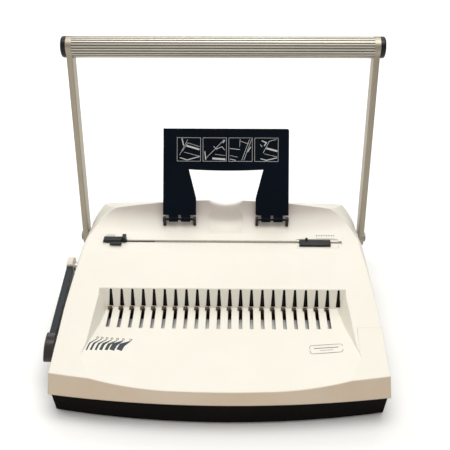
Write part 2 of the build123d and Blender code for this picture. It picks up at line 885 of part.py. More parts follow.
for side, name in ((-1, "left"), (1, "right")):
    with BuildPart() as grip_cap:
        with BuildSketch(Plane.YZ.offset(side * arm_outer_x)):
            with Locations((grip_y, grip_z)):
                Circle(grip_radius)
        extrude(amount=side * cap_thickness)
        fillet(grip_cap.faces().sort_by(Axis.X)[::side][-1].edges(), 2.6)
    write(grip_cap, f"grip_cap_{name}")

with BuildPart() as handle_screws:
    for side in (-1, 1):
        with BuildSketch(Plane.YZ.offset(side * arm_outer_x)):
            with Locations((shaft_y, shaft_z)):
                Circle(6.5)
        extrude(amount=side * 3.4)
        with BuildSketch(Plane.YZ.offset(side * (arm_outer_x + 3.4))):
            with Locations((shaft_y, shaft_z)):
                RegularPolygon(2.9, 6)
        extrude(amount=-side * 2.2, mode=Mode.SUBTRACT)
write(handle_screws, "handle_screws")

# ---------------------------------------------------------------- comb opener

rack_bar_y = -24.0
rack_bar_depth = 4.0
fin_thickness = 1.6
fin_bottom_z = 57.5
fin_top_z = 76.0
fin_sink = 1.0

with BuildPart() as comb_rack:
    with Locations((0, rack_bar_y + rack_bar_depth / 2, 61)):
        Box(2 * frame_inner_x, rack_bar_depth, 22)
    for x in slot_positions:
        with BuildSketch(Plane.YZ.offset(x - fin_thickness / 2)):
            with BuildLine():
                Polyline(
                    (back_wall_y(fin_bottom_z) + fin_sink, fin_bottom_z),
                    (back_wall_y(fin_top_z) + fin_sink, fin_top_z),
                    (rack_bar_y + rack_bar_depth, fin_top_z),
                    (rack_bar_y + rack_bar_depth, fin_bottom_z),
                    close=True,
                )
            make_face()
        extrude(amount=fin_thickness)
write(comb_rack, "comb_rack")

plate_top_z = 46.5
plate_thickness = 2.5
plate_front_y = -78.0
plate_back_y = -52.0
plate_left_x = -159.0
plate_right_x = 159.0
lobe_width = 14.0
lobe_front_y = -87.0
lobe_back_y = -44.5
guide_slot_width = 5.6
guide_slot_length = slide_travel + guide_slot_width + 0.6
guide_slot_y = post_y - 0.3 - guide_slot_width / 2 + guide_slot_length / 2
rack_outer_x = gear_x - gear_width / 2

with BuildPart() as hook_plate:
    with BuildSketch(Plane.XY.offset(plate_top_z - plate_thickness)):
        with Locations((0, (plate_front_y + plate_back_y) / 2)):
            Rectangle(plate_right_x - plate_left_x, plate_back_y - plate_front_y)
        with Locations(*[(side * post_x, (lobe_front_y + lobe_back_y) / 2) for side in (-1, 1)]):
            Rectangle(lobe_width, lobe_back_y - lobe_front_y)
        with Locations(((rack_outer_x - post_x) / 2, -69)):
            Rectangle(-post_x - rack_outer_x, 18)
        with Locations(*[(side * post_x, guide_slot_y) for side in (-1, 1)]):
            SlotOverall(guide_slot_length, guide_slot_width, rotation=90, mode=Mode.SUBTRACT)
    extrude(amount=plate_thickness)
write(hook_plate, "hook_plate")

hook_neck = 3.0
hook_top_z = 59.0

with BuildPart() as comb_hooks:
    for x in hook_positions:
        with BuildSketch(Plane.YZ.offset(x - hook_neck / 2)):
            with BuildLine():
                Polyline(
                    (plate_back_y, plate_top_z),
                    (-50, plate_top_z),
                    (-48.6, 41),
                    (-45, 41),
                    (-45, hook_top_z),
                    (-41, hook_top_z),
                    (-41, 38.5),
                    (-50.5, 38.5),
                    (plate_back_y, 44),
                    close=True,
                )
            make_face()
        extrude(amount=hook_neck)
    with Locations(*[(x - 2.8, -43, 57.7) for x in hook_positions]):
        Box(2.6, 4, 2.6)
write(comb_hooks, "comb_hooks")


def involute(angle):
    """The involute function."""
    return math.tan(angle) - angle


def tooth_points(middle):
    """Outline of one sector tooth whose middle stands at the given angle."""
    base = gear_radius * math.cos(pressure_angle)
    tip = gear_radius + 0.9 * gear_module
    root = gear_radius - 1.3 * gear_module
    half_pitch = (math.pi * gear_module / 2 - 0.3) / (2 * gear_radius)
    radii = [base + (tip - base) * i / 3 for i in range(4)]
    halves = [half_pitch + involute(pressure_angle) - involute(math.acos(base / r)) for r in radii]
    flank = [(root, halves[0])] + list(zip(radii, halves))
    spots = [(r, middle - half) for r, half in flank] + [(r, middle + half) for r, half in reversed(flank)]
    return [(lever_y + r * math.cos(a), lever_z + r * math.sin(a)) for r, a in spots]


tooth_step = 2 * math.pi / gear_teeth
sector_root = gear_radius - 1.25 * gear_module

with BuildPart() as pinion_sector:
    with BuildSketch(Plane.YZ.offset(rack_outer_x)):
        with Locations((lever_y, lever_z)):
            Circle(11)
        with BuildLine():
            first = math.radians(-126)
            last = math.radians(18)
            middle = (first + last) / 2
            start = (lever_y + sector_root * math.cos(first), lever_z + sector_root * math.sin(first))
            halfway = (lever_y + sector_root * math.cos(middle), lever_z + sector_root * math.sin(middle))
            end = (lever_y + sector_root * math.cos(last), lever_z + sector_root * math.sin(last))
            Line((lever_y, lever_z), start)
            ThreePointArc(start, halfway, end)
            Line(end, (lever_y, lever_z))
        make_face()
        for i in range(-2, 6):
            with BuildLine():
                Polyline(*tooth_points(-math.pi / 2 + (i + 0.5) * tooth_step), close=True)
            make_face()
        with Locations((lever_y, lever_z)):
            Circle(lever_shaft_radius, mode=Mode.SUBTRACT)
    extrude(amount=gear_width)
write(pinion_sector, "pinion_sector")

pitch_z = lever_z - gear_radius
rack_pitch = math.pi * gear_module
rack_root_z = pitch_z - 1.25 * gear_module
rack_tip_z = pitch_z + 0.9 * gear_module

with BuildPart() as drive_rack:
    with BuildSketch(Plane.YZ.offset(rack_outer_x)):
        with BuildLine():
            Polyline(
                (plate_front_y, 37),
                (84, 37),
                (84, rack_root_z),
                (-60, rack_root_z),
                (-60, plate_top_z - plate_thickness),
                (plate_front_y, plate_top_z - plate_thickness),
                close=True,
            )
        make_face()
        for i in range(-1, 8):
            tooth_y = lever_y + i * rack_pitch
            half = rack_pitch / 4 - 0.15
            foot = half + (pitch_z - rack_root_z) * math.tan(pressure_angle)
            tip = half - (rack_tip_z - pitch_z) * math.tan(pressure_angle)
            with BuildLine():
                Polyline(
                    (tooth_y - foot, rack_root_z),
                    (tooth_y - tip, rack_tip_z),
                    (tooth_y + tip, rack_tip_z),
                    (tooth_y + foot, rack_root_z),
                    close=True,
                )
            make_face()
    extrude(amount=gear_width)
write(drive_rack, "drive_rack")

# ---------------------------------------------------------------- comb lever

lever_hub_radius = 13.0
lever_inner_x = -207.8
blade_outer_x = -214.2
blade_thickness = 3.0
lever_outer_x = -219.5
hub_outer_x = -215.5
sleeve_outer_x = -216.8
sleeve_back_y = 26.0
sleeve_front_y = -92.0

with BuildPart() as lever_shaft:
    with Locations(((hub_outer_x - frame_inner_x) / 2, lever_y, lever_z)):
        Cylinder(lever_shaft_radius, -hub_outer_x - frame_inner_x, rotation=(0, 90, 0))
write(lever_shaft, "lever_shaft")

with BuildPart(mode=Mode.PRIVATE) as lever_blade:
    with BuildSketch(Plane.YZ.offset(blade_outer_x)):
        with BuildLine():
            Polyline(
                (lever_y, lever_z + lever_hub_radius - 1),
                (sleeve_back_y, 67),
                (sleeve_front_y, 57.5),
                (-114, 51),
                (-112, 45.5),
                (sleeve_front_y, 43.5),
                (sleeve_back_y, 52),
                (lever_y, lever_z - lever_hub_radius + 1),
                close=True,
            )
        make_face()
    extrude(amount=blade_thickness)

with BuildPart() as lever_arm:
    with BuildSketch(Plane.YZ.offset(hub_outer_x)):
        with Locations((lever_y, lever_z)):
            Circle(lever_hub_radius)
    extrude(amount=lever_inner_x - hub_outer_x)
    with Locations(((hub_outer_x + lever_inner_x) / 2, sleeve_back_y - 10, lever_z)):
        Box(lever_inner_x - hub_outer_x, 20, 40, mode=Mode.SUBTRACT)
    add(lever_blade.part)
    with Locations((hub_outer_x, lever_y, lever_z)):
        Cylinder(lever_shaft_radius, 40, rotation=(0, 90, 0), mode=Mode.SUBTRACT)
write(lever_arm, "lever_arm")

with BuildPart() as lever_sleeve:
    with BuildSketch(Plane.YZ.offset(sleeve_outer_x)):
        with BuildLine():
            Polyline(
                (sleeve_back_y, 70),
                (sleeve_front_y, 61),
                (sleeve_front_y, 40),
                (sleeve_back_y, 49),
                close=True,
            )
        make_face()
    extrude(amount=lever_inner_x - sleeve_outer_x)
    outer = lever_sleeve.faces().sort_by(Axis.X)[0].edges().sort_by(Axis.Z)
    fillet([outer[0], outer[-1]], 2.5)
    add(lever_blade.part, mode=Mode.SUBTRACT)
write(lever_sleeve, "lever_sleeve")

with BuildPart() as lever_nose:
    with BuildSketch(Plane.YZ.offset(lever_outer_x)):
        with BuildLine():
            Line((sleeve_front_y, 40), (sleeve_front_y, 61))
            ThreePointArc((sleeve_front_y, 61), (-114, 57), (-127, 45))
            ThreePointArc((-127, 45), (-110, 39.4), (sleeve_front_y, 40))
        make_face()
    extrude(amount=lever_inner_x - lever_outer_x)
    outer = lever_nose.faces().sort_by(Axis.X)[0].edges().sort_by(Axis.Y)
    fillet(outer[:2], 2.5)
    add(lever_blade.part, mode=Mode.SUBTRACT)
write(lever_nose, "lever_nose")

with BuildPart() as lever_screw:
    with BuildSketch(Plane.YZ.offset(hub_outer_x)):
        with Locations((lever_y, lever_z)):
            Circle(5.2)
    extrude(amount=-2.4)
    with BuildSketch(Plane.YZ.offset(hub_outer_x - 2.4)):
        with Locations((lever_y, lever_z)):
            Rectangle(6.4, 1.2)
    extrude(amount=1.2, mode=Mode.SUBTRACT)
write(lever_screw, "lever_screw")

# ---------------------------------------------------------------- guides on the shelf

shelf_z = top_height(throat_y)
glide_gap = 0.3

with BuildPart() as edge_guide:
    with Locations((-152.5, 51, shelf_z + glide_gap + 1.9)):
        Box(25, 9, 2.8)
    with Locations((-147.5, 43.5, shelf_z + glide_gap + 1.2)):
        Box(16, 7, 2.0)
    with Locations((-136.5, 52, shelf_z + glide_gap + 3.8)):
        Box(5, 9, 6.6)
    with Locations((-149, throat_y - 0.1, (82 + shelf_z + 2.5) / 2)):
        Box(32, 1.6, shelf_z + 2.5 - 82)
write(edge_guide, "edge_guide")

with BuildPart() as guide_tab:
    with Locations((-157, 57.9, shelf_z + 2.6)):
        Box(12, 4.8, 1.6)
write(guide_tab, "guide_tab")

with BuildPart() as margin_selector:
    with BuildSketch(Plane.YZ.offset(107)):
        with BuildLine():
            Polyline(
                (42.5, top_height(42.5) - 0.9),
                (53.0, top_height(53.0) - 0.9),
                (53.0, shelf_z + 2.0),
                (51.5, shelf_z + 2.8),
                (44.5, shelf_z + 2.2),
                (42.5, shelf_z + 0.9),
                close=True,
            )
        make_face()
    extrude(amount=43)
    with Locations((117, 52.0, shelf_z + 3.6)):
        Box(3, 3, 3)
write(margin_selector, "margin_selector")

# ---------------------------------------------------------------- paper support

lean = math.radians(support_lean)
support_plane = Plane(
    origin=(support_x, support_y, support_z),
    x_dir=(1, 0, 0),
    z_dir=(0, -math.cos(lean), math.sin(lean)),
)
leg_middle = (support_width - support_leg) / 2
window_top = 70.5
window_top_half = 52.5
window_foot_half = 42.0
window_knee = 30.0
window_sag = 1.6
ear = 4.0
gap = 4.2
barrel = (support_leg - 2 * ear - 3 * gap) / 2
barrel_spots = [(barrel + gap) / 2, -(barrel + gap) / 2]
barrel_radius = 3.5
hinge_pin_radius = 1.5

with BuildPart() as paper_support:
    with BuildSketch(support_plane) as panel:
        with BuildLine():
            Polyline(
                (-support_width / 2, 6),
                (-support_width / 2, support_length),
                (support_width / 2, support_length),
                (support_width / 2, 6),
                (window_foot_half, 6),
                (window_foot_half, window_knee),
                (window_top_half, window_top),
            )
            ThreePointArc(
                (window_top_half, window_top),
                (0, window_top - window_sag),
                (-window_top_half, window_top),
            )
            Polyline(
                (-window_top_half, window_top),
                (-window_foot_half, window_knee),
                (-window_foot_half, 6),
                (-support_width / 2, 6),
            )
        make_face()
        top_corners = panel.vertices().sort_by(Axis.Z)[-2:]
        fillet(top_corners, 3)
        knees = [v for v in panel.vertices() if abs(v.Z - support_z - math.cos(lean) * window_knee) < 1]
        fillet(knees, 30)
    extrude(amount=support_thickness / 2, both=True)
    for side in (-1, 1):
        for spot in barrel_spots:
            x = support_x + side * leg_middle + spot
            with BuildSketch(support_plane):
                with Locations((x - support_x, 4)):
                    Rectangle(barrel, 7)
            extrude(amount=support_thickness / 2, both=True)
            with Locations((x, support_y, support_z)):
                Cylinder(barrel_radius, barrel, rotation=(0, 90, 0))
    with Locations((support_x, support_y, support_z)):
        Cylinder(
            hinge_pin_radius + running_clearance, support_width + 10, rotation=(0, 90, 0), mode=Mode.SUBTRACT
        )
write(paper_support, "paper_support")


bracket_front_y = 78.4
bracket_back_y = 87.0

for side, name in ((-1, "left"), (1, "right")):
    foot_x = support_x + side * leg_middle - support_leg / 2
    front_z = ramp_height(bracket_front_y)
    back_z = ramp_height(bracket_back_y)
    with BuildPart() as support_bracket:
        for x in (foot_x, foot_x + support_leg - ear):
            with BuildSketch(Plane.YZ.offset(x)):
                with BuildLine():
                    Polyline(
                        (bracket_front_y, front_z - 4),
                        (bracket_front_y, front_z + 1.5),
                        (support_y - 4, support_z),
                        (support_y + 4, support_z),
                        (bracket_back_y, back_z + 1.5),
                        (bracket_back_y, back_z - 4),
                        close=True,
                    )
                make_face()
                with Locations((support_y, support_z)):
                    Circle(4)
                    Circle(hinge_pin_radius, mode=Mode.SUBTRACT)
            extrude(amount=ear)
        add(top_cover.part, mode=Mode.SUBTRACT)
        ears = support_bracket.solids().sort_by(Axis.Z)[-2:]
    support_bracket = Compound(children=ears)
    support_bracket.label = f"support_bracket_{name}"
    export_step(support_bracket, f"parts/support_bracket_{name}.step")

with BuildPart() as support_hinge_pins:
    with Locations(*[(support_x + side * leg_middle, support_y, support_z) for side in (-1, 1)]):
        Cylinder(hinge_pin_radius, support_leg, rotation=(0, 90, 0))
write(support_hinge_pins, "support_hinge_pins")
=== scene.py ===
import json
import math

import bmesh
import bpy
from mathutils import Matrix, Vector
from mathutils.bvhtree import BVHTree


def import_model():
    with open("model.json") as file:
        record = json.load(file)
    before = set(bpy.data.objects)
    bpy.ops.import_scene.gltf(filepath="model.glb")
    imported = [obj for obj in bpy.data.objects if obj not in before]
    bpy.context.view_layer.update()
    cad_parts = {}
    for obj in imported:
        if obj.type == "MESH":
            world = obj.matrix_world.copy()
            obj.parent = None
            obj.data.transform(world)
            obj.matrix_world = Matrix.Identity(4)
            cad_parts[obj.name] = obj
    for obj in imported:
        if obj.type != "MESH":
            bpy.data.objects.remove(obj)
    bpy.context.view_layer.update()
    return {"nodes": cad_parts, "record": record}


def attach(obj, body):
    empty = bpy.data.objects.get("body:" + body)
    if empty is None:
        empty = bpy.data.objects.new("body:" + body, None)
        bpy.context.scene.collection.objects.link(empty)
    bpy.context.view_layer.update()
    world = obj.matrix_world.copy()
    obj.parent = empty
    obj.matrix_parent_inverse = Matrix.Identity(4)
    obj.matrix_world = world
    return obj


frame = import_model()
MM = 0.001

# The grip tube's axis, as y and z in metres, and its radius
GRIP_AXIS = (0.1695, 0.3313)
GRIP_RADIUS = 0.014
GROOVE_START = GRIP_RADIUS - 0.0001
GROOVE_FOOT = GRIP_RADIUS - 0.0007

# Where the two tinted areas of the housing begin and are full (painted shade on both, partly yellowing
# on the front), as y in metres and as the normal's y
APRON_PLACE = (-0.146, -0.154)
APRON_FACING = (-0.42, -0.72)
RAMP_PLACE = (0.060, 0.068)
RAMP_FACING = (-0.16, -0.62)

# ---------------------------------------------------------------- material nodes


class Nodes:
    """A material with a Principled shader, and short calls for the nodes that feed it."""

    def __init__(self, name):
        self.material = bpy.data.materials.new(name)
        self.material.use_nodes = True
        self.tree = self.material.node_tree
        self.tree.nodes.clear()
        output = self.add("ShaderNodeOutputMaterial")
        self.shader = self.add("ShaderNodeBsdfPrincipled")
        self.link(self.shader.outputs["BSDF"], output.inputs["Surface"])
        self.where = self.add("ShaderNodeTexCoord").outputs["Object"]

    def add(self, kind):
        return self.tree.nodes.new(kind)

    def link(self, source, target):
        self.tree.links.new(source, target)

    def fill(self, socket, value):
        """Link a value that varies, or set one that does not."""
        if isinstance(value, bpy.types.NodeSocket):
            self.link(value, socket)
        else:
            socket.default_value = value

    def scaled(self, scale, turn=(0.0, 0.0, 0.0)):
        node = self.add("ShaderNodeMapping")
        self.link(self.where, node.inputs["Vector"])
        node.inputs["Scale"].default_value = scale
        node.inputs["Rotation"].default_value = turn
        return node.outputs["Vector"]

    def noise(self, size, detail=2.0, roughness=0.5, stretch=(1.0, 1.0, 1.0)):
        """Noise whose spots are about size metres across."""
        node = self.add("ShaderNodeTexNoise")
        self.link(self.scaled([s / size for s in stretch]), node.inputs["Vector"])
        node.inputs["Scale"].default_value = 1.0
        node.inputs["Detail"].default_value = detail
        node.inputs["Roughness"].default_value = roughness
        return node.outputs["Fac"]

    def cells(self, size):
        """Distance from the middles of cells about size metres across."""
        node = self.add("ShaderNodeTexVoronoi")
        self.link(self.scaled([1.0 / size] * 3), node.inputs["Vector"])
        node.inputs["Scale"].default_value = 1.0
        return node.outputs["Distance"]

    def spread(self, value, low, high, start=0.0, end=1.0):
        """Map value from start..end onto low..high."""
        node = self.add("ShaderNodeMapRange")
        self.link(value, node.inputs["Value"])
        node.inputs["From Min"].default_value = start
        node.inputs["From Max"].default_value = end
        node.inputs["To Min"].default_value = low
        node.inputs["To Max"].default_value = high
        return node.outputs["Result"]

    def mix(self, share, first, second):
        node = self.add("ShaderNodeMix")
        node.data_type = "RGBA"
        self.fill(node.inputs["Factor"], share)
        self.fill(node.inputs[6], first)
        self.fill(node.inputs[7], second)
        return node.outputs[2]

    def times(self, first, second):
        node = self.add("ShaderNodeMath")
        node.operation = "MULTIPLY"
        self.link(first, node.inputs[0])
        self.link(second, node.inputs[1])
        return node.outputs["Value"]

    def split(self, vector):
        node = self.add("ShaderNodeSeparateXYZ")
        self.link(vector, node.inputs["Vector"])
        return node.outputs

    def bump(self, height, distance, strength=1.0, normal=None):
        node = self.add("ShaderNodeBump")
        node.inputs["Distance"].default_value = distance
        node.inputs["Strength"].default_value = strength
        self.link(height, node.inputs["Height"])
        if normal is not None:
            self.link(normal, node.inputs["Normal"])
        return node.outputs["Normal"]

    def eased_edges(self, radius):
        """Normals that turn over the last bit of each edge, as a moulded or broken edge does."""
        node = self.add("ShaderNodeBevel")
        node.samples = 4
        node.inputs["Radius"].default_value = radius
        return node.outputs["Normal"]

    def set(self, **values):
        for name, value in values.items():
            self.fill(self.shader.inputs[name.replace("_", " ")], value)


def colour(r, g, b, gain=1.0):
    return (r * gain, g * gain, b * gain, 1.0)


def moulded(
    name, base, rough=0.45, grain=0.5, depth=0.03, mottle=0.06, edge=0.6, stain=None, gloss=0.5
):
    """Moulded plastic: a spark-eroded grain, faint colour drift, handling marks and eased edges."""
    n = Nodes(name)
    drift = n.noise(0.055, 3.0)
    darker, lighter = colour(*base, 1 - mottle), colour(*base, 1 + mottle)
    body = n.mix(n.spread(drift, 0.0, 1.0, 0.3, 0.7), darker, lighter)
    if stain is not None:
        patches = n.spread(n.noise(0.12, 4.0, 0.6), 0.0, 0.55, 0.45, 0.8)
        body = n.mix(patches, body, colour(*stain))
    speck = n.spread(n.noise(0.0011, 1.0), 0.0, 0.1, 0.62, 0.8)
    body = n.mix(speck, body, colour(*base, 0.8))
    n.set(Base_Color=body, Specular_IOR_Level=gloss)
    wiped = n.spread(n.noise(0.03, 3.0, 0.6, (1.0, 0.35, 1.0)), rough - 0.06, rough + 0.08, 0.3, 0.7)
    n.set(Roughness=wiped)
    coarse = n.bump(n.noise(grain * MM, 2.0, 0.6), depth * MM, 0.5, n.eased_edges(edge * MM))
    n.set(Normal=n.bump(n.cells(grain * 1.7 * MM), depth * 0.6 * MM, 0.35, coarse))
    return n


def yellowing_and_painted_shade(n, tint, ramp_painted_shade):
    """Painted shade and warm painted reflection on the front face, partly also yellowing, and rose-grey
    painted shade on the ramp behind the shelf, both uneven.
    """
    facing = n.split(n.add("ShaderNodeNewGeometry").outputs["Normal"])["Y"]
    place = n.split(n.where)["Y"]
    uneven = n.spread(n.noise(0.05, 3.0), 0.82, 1.0, 0.3, 0.7)
    areas = ((APRON_FACING, APRON_PLACE, tint), (RAMP_FACING, RAMP_PLACE, ramp_painted_shade))
    body = n.shader.inputs["Base Color"].links[0].from_socket
    for turned, placed, shade in areas:
        # each area's colour is painted shade, placed by the facing normal and by y; the front colour is
        # partly yellowing too
        area = n.times(n.spread(facing, 0.0, 1.0, *turned), n.spread(place, 0.0, 1.0, *placed))
        body = n.mix(n.times(area, uneven), body, colour(*shade))
    n.set(Base_Color=body)
    return n


def drawn_metal(name, base, rough, along, streak=0.05, edge=0.3, tarnish=0.12):
    """Metal with fine lines that run along one axis, and a duller film in patches."""
    n = Nodes(name)
    stretch = [1.0, 1.0, 1.0]
    stretch[along] = 0.02
    lines = n.noise(0.0005, 3.0, 0.7, stretch)
    film = n.spread(n.noise(0.025, 3.0), 0.0, 1.0, 0.35, 0.75)
    tint = n.mix(film, colour(*base), colour(*base, 1 - tarnish))
    tint = n.mix(n.spread(lines, 0.0, 0.35, 0.3, 0.7), tint, colour(*base, 0.78))
    n.set(Base_Color=tint, Metallic=1.0)
    n.set(Roughness=n.spread(lines, rough - streak, rough + streak, 0.3, 0.7))
    n.set(Normal=n.bump(lines, 0.006 * MM, 0.5, n.eased_edges(edge * MM)))
    return n


def fluted_grip(name, base):
    """Extruded tube: satin flats, and grooves darkened by painted shade."""
    n = Nodes(name)
    lines = n.noise(0.0011, 2.0, 0.5, (0.012, 1.0, 1.0))
    film = n.spread(n.noise(0.05, 3.0), 0.0, 1.0, 0.35, 0.75)
    middle = n.add("ShaderNodeMapping")
    n.link(n.where, middle.inputs["Vector"])
    middle.inputs["Location"].default_value = (0.0, -GRIP_AXIS[0], -GRIP_AXIS[1])
    middle.inputs["Scale"].default_value = (0.0, 1.0, 1.0)
    distance = n.add("ShaderNodeVectorMath")
    distance.operation = "LENGTH"
    n.link(middle.outputs["Vector"], distance.inputs[0])
    # painted shade: the grooves are darkened towards 0.15 of the base colour
    painted_groove_shade = n.spread(distance.outputs["Value"], 1.0, 0.0, GROOVE_FOOT, GROOVE_START)
    flat = n.mix(film, colour(*base), colour(*base, 0.93))
    n.set(Base_Color=n.mix(painted_groove_shade, flat, colour(*base, 0.15)), Metallic=0.75)
    n.set(Roughness=n.spread(lines, 0.38, 0.46, 0.3, 0.7))
    n.set(Normal=n.bump(lines, 0.003 * MM, 0.3, n.eased_edges(0.1 * MM)))
    return n


def plated(name, base, rough, grain=1.4, edge=0.25):
    """Sheet metal with the soft spangle and small scratches of a zinc or bronze finish."""
    n = Nodes(name)
    spangle = n.spread(n.cells(grain * MM), 0.0, 1.0, 0.1, 0.7)
    cloud = n.noise(0.014, 4.0, 0.6)
    tint = n.mix(n.spread(cloud, 0.0, 0.6, 0.35, 0.7), colour(*base), colour(*base, 0.72))
    tint = n.mix(n.spread(spangle, 0.0, 0.12), tint, colour(*base, 1.25))
    n.set(Base_Color=tint, Metallic=1.0)
    scratch = n.noise(0.0007, 3.0, 0.7, (1.0, 0.06, 1.0))
    n.set(Roughness=n.spread(scratch, rough - 0.08, rough + 0.1, 0.3, 0.7))
    n.set(Normal=n.bump(scratch, 0.008 * MM, 0.4, n.eased_edges(edge * MM)))
    return n


def rubbery(name, base):
    """Matt rubber with a pale bloom in patches."""
    n = Nodes(name)
    bloom = n.spread(n.noise(0.006, 4.0, 0.6), 0.0, 0.5, 0.4, 0.75)
    n.set(Base_Color=n.mix(bloom, colour(*base), colour(*base, 2.1)), Specular_IOR_Level=0.3)
    n.set(Roughness=n.spread(n.noise(0.002, 2.0), 0.72, 0.9, 0.3, 0.7))
    n.set(Normal=n.bump(n.cells(0.0009), 0.05 * MM, 0.4, n.eased_edges(0.5 * MM)))
    return n


def printed(name, base, rough=0.4):
    """Screen-printed ink: slightly uneven cover and a soft gloss."""
    n = Nodes(name)
    cover = n.spread(n.noise(0.0012, 3.0, 0.6), 0.0, 0.35, 0.35, 0.75)
    n.set(Base_Color=n.mix(cover, colour(*base), colour(*base, 0.8)))
    n.set(Roughness=n.spread(n.noise(0.004, 2.0), rough - 0.05, rough + 0.08, 0.3, 0.7))
    n.set(Normal=n.bump(n.noise(0.0004, 2.0), 0.01 * MM, 0.3))
    return n


def frosted(name, base):
    """Clear plastic with a hazy surface."""
    n = Nodes(name)
    haze = n.noise(0.003, 3.0)
    n.set(Base_Color=n.mix(n.spread(haze, 0.0, 0.4, 0.3, 0.7), colour(*base), colour(*base, 0.85)))
    n.set(Transmission_Weight=0.35, IOR=1.49)
    n.set(Roughness=n.spread(haze, 0.25, 0.45, 0.3, 0.7))
    n.set(Normal=n.bump(n.noise(0.0008, 2.0), 0.02 * MM, 0.3, n.eased_edges(0.3 * MM)))
    return n


ALONG_X, ALONG_Y, ALONG_Z = 0, 1, 2
FINISHES = {
    "cover_plastic": yellowing_and_painted_shade(
        moulded(
            "ivory_housing", (0.75, 0.725, 0.65), 0.42, 0.55, 0.03, 0.015, 1.2, stain=(0.74, 0.70, 0.605)
        ),
        # front face colour: painted shade and warm painted reflection, partly yellowing
        (0.56, 0.45, 0.335),
        # ramp colour: painted rose-grey shade
        (0.46, 0.41, 0.375),
    ),
    "base_plastic": moulded(
        "black_base", (0.0042, 0.0030, 0.0026), 0.62, 0.7, 0.05, 0.15, 1.0, gloss=0.03
    ),
    "foot_rubber": rubbery("foot_rubber", (0.022, 0.021, 0.021)),
    "tray_plastic": moulded(
        "tray_plastic", (0.016, 0.015, 0.016), 0.48, 0.6, 0.04, 0.15, 0.6, gloss=0.35
    ),
    "frame_steel": plated("zinc_sheet", (0.50, 0.51, 0.50), 0.38),
    "black_steel": plated("blackened_steel", (0.020, 0.018, 0.017), 0.5, 0.8),
    "tool_steel": drawn_metal("ground_steel", (0.42, 0.42, 0.42), 0.34, ALONG_X),
    "bright_steel": drawn_metal("turned_steel", (0.62, 0.62, 0.61), 0.24, ALONG_X),
    "screw_steel": plated("dark_zinc", (0.26, 0.25, 0.24), 0.42, 0.9),
    "spring_steel": drawn_metal("spring_wire", (0.45, 0.45, 0.44), 0.3, ALONG_Y),
    "bronze": plated("sintered_bronze", (0.42, 0.29, 0.15), 0.5, 0.7),
    "hook_steel": plated("bronze_plated_hooks", (0.15, 0.11, 0.075), 0.36, 0.9, 0.2),
    "anodised": drawn_metal(
        "champagne_anodised", (0.40, 0.36, 0.29), 0.45, ALONG_Z, 0.04, 0.8, 0.06
    ),
    "grip_metal": fluted_grip("fluted_grip", (0.56, 0.53, 0.46)),
    "black_plastic": moulded(
        "black_moulding", (0.005, 0.005, 0.006), 0.34, 0.35, 0.015, 0.12, 0.5, gloss=0.3
    ),
    "support_plastic": moulded(
        "navy_support", (0.0016, 0.0040, 0.0085), 0.5, 0.45, 0.02, 0.15, 0.8, gloss=0.05
    ),
    "lever_plastic": moulded("beige_lever", (0.64, 0.58, 0.50), 0.42, 0.5, 0.03, 0.03, 0.6),
    "sleeve_plastic": moulded(
        "slate_sleeve", (0.005, 0.011, 0.017), 0.36, 0.4, 0.02, 0.12, 0.8, gloss=0.35
    ),
    "nose_plastic": moulded("polished_nose", (0.020, 0.017, 0.016), 0.2, 0.3, 0.006, 0.12, 0.8),
    "acetal": moulded("natural_acetal", (0.72, 0.71, 0.65), 0.36, 0.5, 0.015, 0.03, 0.3),
    "tab_plastic": frosted("frosted_tab", (0.66, 0.66, 0.60)),
}
INK_DARK = printed("slate_ink", (0.006, 0.016, 0.026))
INK_WHITE = printed("white_ink", (0.52, 0.53, 0.54))
INK_GREY = printed("grey_ink", (0.17, 0.17, 0.20))

SLOT_OF = {row["node"]: row["material_slot"] for row in frame["record"]["subparts"]}
for node, piece in frame["nodes"].items():
    finish = FINISHES[SLOT_OF[node]].material
    if len(piece.material_slots) == 0:
        piece.data.materials.append(finish)
    for holder in piece.material_slots:
        holder.material = finish

# ---------------------------------------------------------------- printed marks

# The paper support's hinge in millimetres, its lean from upright and half its thickness
SUPPORT_HINGE = Vector((4.5, 80.0, 113.0))
SUPPORT_LEAN = math.radians(36.5)
SUPPORT_HALF_THICKNESS = 2.0

# A height over the whole housing, in metres, from which rays are cast down to it
ABOVE_COVER = 0.4

cover = frame["nodes"]["top_cover"]
cover_tree = BVHTree.FromPolygons(
    [v.co for v in cover.data.vertices], [p.vertices for p in cover.data.polygons]
)


def on_cover(x, y, lift):
    """The point on the housing's top at x, y in millimetres, raised by lift."""
    hit = cover_tree.ray_cast(Vector((x * MM, y * MM, ABOVE_COVER)), Vector((0, 0, -1)))[0]
    return hit + Vector((0, 0, lift * MM))


def on_support(x, up, lift):
    """The point on the front of the paper support, up its slope from the hinge."""
    out = Vector((0, -math.cos(SUPPORT_LEAN), math.sin(SUPPORT_LEAN)))
    rise = Vector((0, math.sin(SUPPORT_LEAN), math.cos(SUPPORT_LEAN)))
    face = out * (SUPPORT_HALF_THICKNESS + lift)
    return (SUPPORT_HINGE + Vector((x, 0, 0)) + rise * up + face) * MM


# The least cosine a mitre is worked out for, so that a sharp turn keeps a short corner
SHARPEST_MITRE = 0.5


def sides(points, width, closed):
    """Mitred left and right points of a stroke."""
    found = []
    count = len(points)
    for i, p in enumerate(points):
        before = points[i - 1] if i or closed else None
        after = points[(i + 1) % count] if i < count - 1 or closed else None
        ways = []
        if before is not None:
            ways.append((Vector(p) - Vector(before)).normalized())
        if after is not None:
            ways.append((Vector(after) - Vector(p)).normalized())
        way = sum(ways, Vector((0, 0)))
        if way.length < 1e-6:
            way = ways[0]
        way.normalize()
        across = Vector((-way.y, way.x))
        reach = width[i] / 2 / max(SHARPEST_MITRE, abs(way.dot(ways[0])))
        found.append((Vector(p) + across * reach, Vector(p) - across * reach))
    return found


